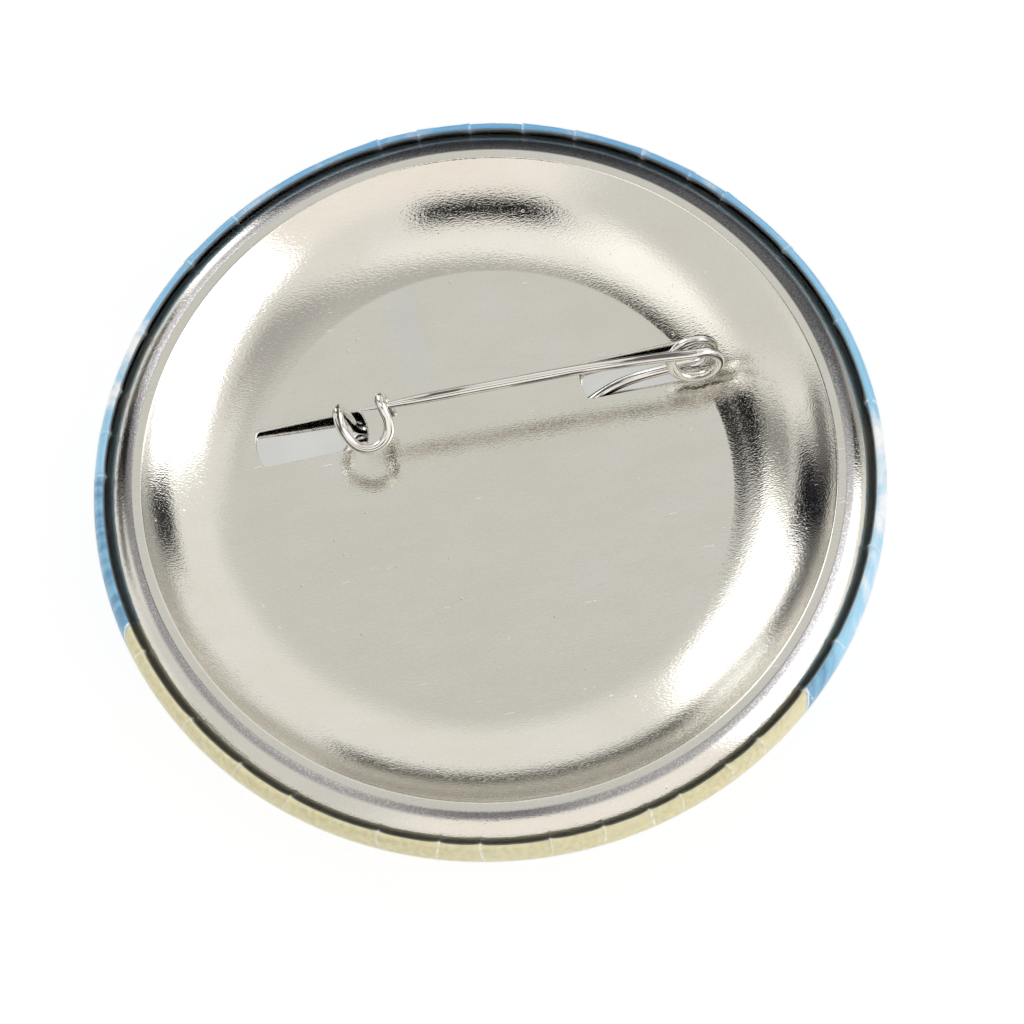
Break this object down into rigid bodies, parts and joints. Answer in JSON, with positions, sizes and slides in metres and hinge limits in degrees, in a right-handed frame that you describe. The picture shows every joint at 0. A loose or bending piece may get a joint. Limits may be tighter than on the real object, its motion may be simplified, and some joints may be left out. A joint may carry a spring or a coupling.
{
  "type": "button badge",
  "caption": "Round tin button badge with a pin back: a film-covered printed dome rolled over a steel shell, and a dished back plate holding a one-piece spring wire pin and its catch.",
  "frame": {"origin": "lowest point of the front dome, on the badge's own axis, with the badge lying on its printed face", "axes": "+Z out of the pin side, +X along the pin from the catch to the coil, +Y to the badge's top edge"},
  "size_m": [0.075, 0.075, 0.0103],
  "materials": {
    "clear_film": "clear glossy polyester film, drawn tight over the print and pleated where it tucks in",
    "printed_paper": null,
    "shell_tinplate": "smooth bright tinplate",
    "back_tinplate": "bright tinplate with a fine straight rolling grain and small handling scratches",
    "nickel_wire": "bright nickel-plated spring wire"
  },
  "bodies": {
    "badge": {"clear_film": "clear_film", "printed_sheet": "printed_paper", "front_shell": "shell_tinplate", "back_plate": "back_tinplate", "base_wire": "nickel_wire", "catch_hook": "nickel_wire"},
    "spring": {"spring_coil": "nickel_wire"},
    "pin": {"pin_arm": "nickel_wire"}
  },
  "joints": [
    {"name": "pin_release", "type": "hinge", "parent": "badge", "child": "spring", "pos_m": [0.02125, 0.00785, 0.00433], "axis": [0, -0.6559, 0.7549], "range_deg": [0, 13], "stiffness_Nm_per_rad": 0.3, "deforming": ["spring_coil"]},
    {"name": "pin_swing", "type": "hinge", "parent": "spring", "child": "pin", "pos_m": [0.02155, 0.00636, 0.00654], "axis": [0, 0.9722, -0.2343], "range_deg": [0, 40], "stiffness_Nm_per_rad": 0.3, "deforming": ["spring_coil"]}
  ]
}
